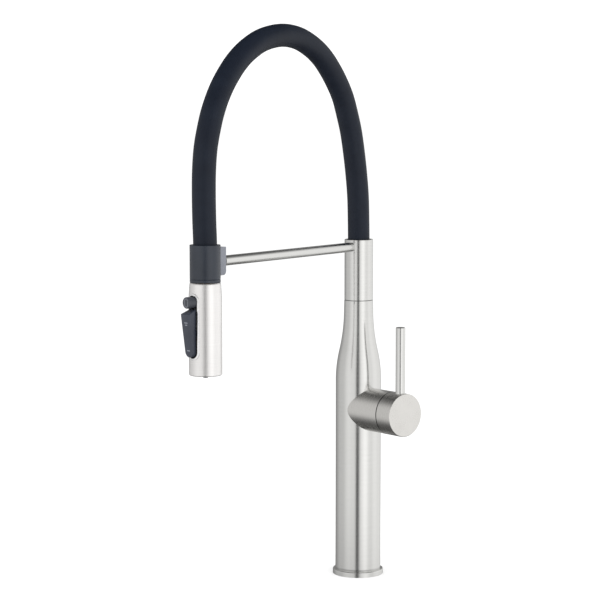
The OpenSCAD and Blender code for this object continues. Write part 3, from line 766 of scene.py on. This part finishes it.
def make_materials():
    """Every material by name."""
    return {
        "stainless": brushed_steel("stainless_turned", (LONG, LONG, FINE), rough=(0.14, 0.21)),
        # The head's steel is painted lighter than the rest, standing in for the extra light
        # that falls on the head
        "stainless_head_painted_light": brushed_steel(
            "stainless_head_painted_light", (LONG, LONG, FINE), base=(0.80, 0.79, 0.785), rough=(0.32, 0.42)
        ),
        "stainless_hub": brushed_steel(
            "stainless_hub", (FINE, LONG, LONG), -HUB_TURN, (0.63, 0.62, 0.60), (0.22, 0.32)
        ),
        # The stub's steel, with painted shade at the seam under the cap
        "stainless_stub_seam_shade": paint_seam_shade(brushed_steel(
            "stainless_stub_seam_shade", (FINE, LONG, LONG), -HUB_TURN, (0.66, 0.65, 0.63), (0.22, 0.32)
        )),
        "stainless_arm": brushed_steel("stainless_arm", (FINE, LONG, FINE), rough=(0.14, 0.22)),
        "stainless_lever": brushed_steel(
            "stainless_lever", (FINE, FINE, LONG), rough=(0.14, 0.22)
        ),
        "brass": plain_metal("brass", (0.62, 0.42, 0.16), (0.74, 0.52, 0.24), (0.25, 0.38)),
        "copper": plain_metal("copper", (0.70, 0.36, 0.22), (0.84, 0.46, 0.30), (0.22, 0.36)),
        "bright_steel": plain_metal(
            "bright_steel", (0.70, 0.70, 0.70), (0.82, 0.82, 0.83), (0.12, 0.2)
        ),
        "spring_steel": plain_metal(
            "spring_steel", (0.42, 0.42, 0.43), (0.56, 0.56, 0.57), (0.25, 0.4)
        ),
        "magnet": plain_metal("magnet", (0.46, 0.45, 0.43), (0.60, 0.59, 0.56), (0.2, 0.32)),
        "seal_rubber": moulded(
            "seal_rubber", (0.012, 0.012, 0.013), (0.022, 0.022, 0.024), (0.55, 0.7)
        ),
        "silicone": moulded(
            "silicone", (0.0030, 0.0062, 0.0150), (0.0055, 0.0100, 0.0205), (0.50, 0.62),
            0.3 * MM, 0.12, 1.36,
        ),
        "dark_plastic": moulded(
            "dark_plastic", (0.009, 0.014, 0.024), (0.015, 0.021, 0.034), (0.34, 0.44), ior=1.55
        ),
        "black_plastic": moulded(
            "black_plastic", (0.006, 0.007, 0.009), (0.010, 0.011, 0.013), (0.4, 0.55)
        ),
        "button_plastic": moulded(
            "button_plastic", (0.034, 0.038, 0.047), (0.044, 0.048, 0.059), (0.38, 0.5)
        ),
        "rocker_plastic": moulded(
            "rocker_plastic", (0.024, 0.029, 0.043), (0.034, 0.040, 0.057), (0.36, 0.48)
        ),
        "dock_plastic": moulded(
            "dock_plastic", (0.165, 0.175, 0.205), (0.200, 0.210, 0.242), (0.38, 0.5)
        ),
        "mark_paint": moulded("mark_paint", (0.22, 0.23, 0.26), (0.27, 0.28, 0.32), (0.4, 0.5)),
        "white_plastic": moulded(
            "white_plastic", (0.70, 0.70, 0.68), (0.78, 0.78, 0.76), (0.35, 0.5)
        ),
        "hose_plastic": moulded(
            "hose_plastic", (0.10, 0.11, 0.12), (0.14, 0.15, 0.16), (0.35, 0.5)
        ),
        "ceramic": moulded(
            "ceramic", (0.74, 0.73, 0.69), (0.82, 0.81, 0.78), (0.1, 0.2),
            0.1 * MM, 0.05, 1.7,
        ),
    }


# Nodes whose look differs from the plain one of their slot
HUB_NODES = {
    "valve_stub", "handle_cap", "bonnet_dome", "mixer_stem", "stem_pin", "handle_screw",
}
OWN_LOOKS = {
    "arm_rod": "stainless_arm",
    "lever_pin": "stainless_lever",
    "head_shell": "stainless_head_painted_light",
    "valve_stub": "stainless_stub_seam_shade",
    "control_bezel": "bright_steel",
    "control_housing": "black_plastic",
    "pause_button": "button_plastic",
    "spray_rocker": "rocker_plastic",
}


def dress_cad(nodes, materials):
    """Gives every CAD node the procedural material of its slot."""
    for name, node in nodes.items():
        slot = node.data.materials[0].name.split(".")[0]
        look = slot
        if slot == "stainless" and name in HUB_NODES:
            look = "stainless_hub"
        look = OWN_LOOKS.get(name, look)
        node.data.materials.clear()
        node.data.materials.append(materials[look])


# ---------- studio ----------

TENT_RADIUS = 1.3
TENT_CENTRE = (0, -0.13, 0.3)
TENT_PEAK = 1.6
SURROUND_STRENGTH = 1.18
OVERHEAD_SIZE = 2.4
OVERHEAD_WATTS = 26
OVERHEAD_PLACE = (0.5, -0.6, 2.3)


def make_camera():
    data = bpy.data.cameras.new("camera")
    data.lens = CAMERA_LENS
    data.sensor_width = 36
    camera = bpy.data.objects.new("camera", data)
    bpy.context.scene.collection.objects.link(camera)
    camera.location = CAMERA_PLACE
    level = Vector((*CAMERA_HEADING, 0)).normalized()
    look = level * math.cos(CAMERA_DIP) - Vector((0, 0, math.sin(CAMERA_DIP)))
    camera.rotation_mode = "QUATERNION"
    camera.rotation_quaternion = look.to_track_quat("-Z", "Y")
    bpy.context.scene.camera = camera


def make_floor():
    """A wide, pale, matt floor, left out of the reflections."""
    size = 60
    corners = [(-size, -size, 0), (size, -size, 0), (size, size, 0), (-size, size, 0)]
    floor = piece_from("floor", corners, [(0, 1, 2, 3)])
    material, shader, coords = new_material("floor")
    cloudy = stretched_noise(material, coords, (3, 3, 3), 2.0)
    paint = tint(material, cloudy, (0.88, 0.88, 0.88), (0.89, 0.89, 0.89))
    material.node_tree.links.new(paint, shader.inputs["Base Color"])
    shader.inputs["Roughness"].default_value = 0.9
    shader.inputs["Specular IOR Level"].default_value = 0.0
    floor.data.materials.append(material)
    floor.visible_glossy = False


def tent_material():
    """Soft boxes and dark gaps round the object, seen only in its reflections."""
    material = bpy.data.materials.new("tent")
    material.use_nodes = True
    nodes = material.node_tree.nodes
    links = material.node_tree.links
    nodes.clear()
    coords = nodes.new("ShaderNodeTexCoord")
    split = nodes.new("ShaderNodeSeparateXYZ")
    links.new(coords.outputs["Object"], split.inputs["Vector"])
    turn = nodes.new("ShaderNodeMath")
    turn.operation = "ARCTAN2"
    links.new(split.outputs["Y"], turn.inputs[0])
    links.new(split.outputs["X"], turn.inputs[1])
    around = nodes.new("ShaderNodeMapRange")
    around.inputs["From Min"].default_value = -math.pi
    around.inputs["From Max"].default_value = math.pi
    links.new(turn.outputs[0], around.inputs["Value"])
    bands = nodes.new("ShaderNodeFloatCurve")
    curve = bands.mapping.curves[0]
    points = [((turned + 180) / 360, v / TENT_PEAK) for turned, v in TENT_BANDS]
    curve.points[0].location = points[0]
    curve.points[1].location = points[-1]
    for point in points[1:-1]:
        curve.points.new(*point)
    for point in curve.points:
        point.handle_type = "VECTOR"
    bands.mapping.update()
    links.new(around.outputs["Result"], bands.inputs["Value"])
    height = nodes.new("ShaderNodeMapRange")
    height.interpolation_type = "SMOOTHSTEP"
    height.inputs["From Min"].default_value = 0.45
    height.inputs["From Max"].default_value = 0.95
    height.inputs["To Min"].default_value = 1.0
    height.inputs["To Max"].default_value = 0.16
    rise = nodes.new("ShaderNodeMath")
    rise.operation = "ABSOLUTE"
    links.new(split.outputs["Z"], rise.inputs[0])
    links.new(rise.outputs[0], height.inputs["Value"])
    light = nodes.new("ShaderNodeMath")
    light.operation = "MULTIPLY"
    links.new(bands.outputs["Value"], light.inputs[0])
    links.new(height.outputs["Result"], light.inputs[1])
    glow = nodes.new("ShaderNodeEmission")
    glow.inputs["Color"].default_value = (1.0, 0.995, 0.985, 1)
    scale = nodes.new("ShaderNodeMath")
    scale.operation = "MULTIPLY"
    scale.inputs[1].default_value = TENT_PEAK
    links.new(light.outputs[0], scale.inputs[0])
    links.new(scale.outputs[0], glow.inputs["Strength"])
    out = nodes.new("ShaderNodeOutputMaterial")
    links.new(glow.outputs[0], out.inputs["Surface"])
    material.cycles.emission_sampling = "NONE"
    return material


def make_tent():
    """A round reflector tent. Its own X axis points to the camera's side."""
    made = bmesh.new()
    bmesh.ops.create_uvsphere(made, u_segments=96, v_segments=48, radius=TENT_RADIUS)
    mesh = bpy.data.meshes.new("tent")
    made.to_mesh(mesh)
    made.free()
    tent = bpy.data.objects.new("tent", mesh)
    bpy.context.scene.collection.objects.link(tent)
    tent.location = TENT_CENTRE
    tent.rotation_euler = (0, 0, math.atan2(-CAMERA_HEADING[1], -CAMERA_HEADING[0]))
    tent.visible_camera = False
    tent.visible_diffuse = False
    tent.visible_shadow = False
    tent.visible_transmission = False
    tent.visible_volume_scatter = False
    mesh.materials.append(tent_material())


def make_lights():
    """An even white surround, and one large soft light from above."""
    world = bpy.data.worlds.new("studio")
    world.use_nodes = True
    bpy.context.scene.world = world
    surround = world.node_tree.nodes["Background"]
    surround.inputs["Color"].default_value = (1, 1, 1, 1)
    surround.inputs["Strength"].default_value = SURROUND_STRENGTH
    world.cycles_visibility.glossy = False

    data = bpy.data.lights.new("overhead", "AREA")
    data.shape = "RECTANGLE"
    data.size = OVERHEAD_SIZE
    data.size_y = OVERHEAD_SIZE
    data.energy = OVERHEAD_WATTS
    light = bpy.data.objects.new("overhead", data)
    bpy.context.scene.collection.objects.link(light)
    light.location = OVERHEAD_PLACE
    light.rotation_euler = (math.radians(14), math.radians(12), 0)
    light.visible_glossy = False
    light.visible_camera = False


def main():
    make_camera()
    materials = make_materials()
    dress_cad(frame["nodes"], materials)
    make_hose(materials["silicone"], materials["hose_plastic"], materials["spring_steel"])
    make_body(materials["stainless"])
    make_dock(materials["dock_plastic"])
    make_collar(materials["dark_plastic"])
    make_rocker(materials["rocker_plastic"])
    make_marks(materials["mark_paint"])
    make_button_spring(materials["spring_steel"])
    make_floor()
    make_tent()
    make_lights()
    bpy.context.scene.view_settings.view_transform = "Standard"


main()
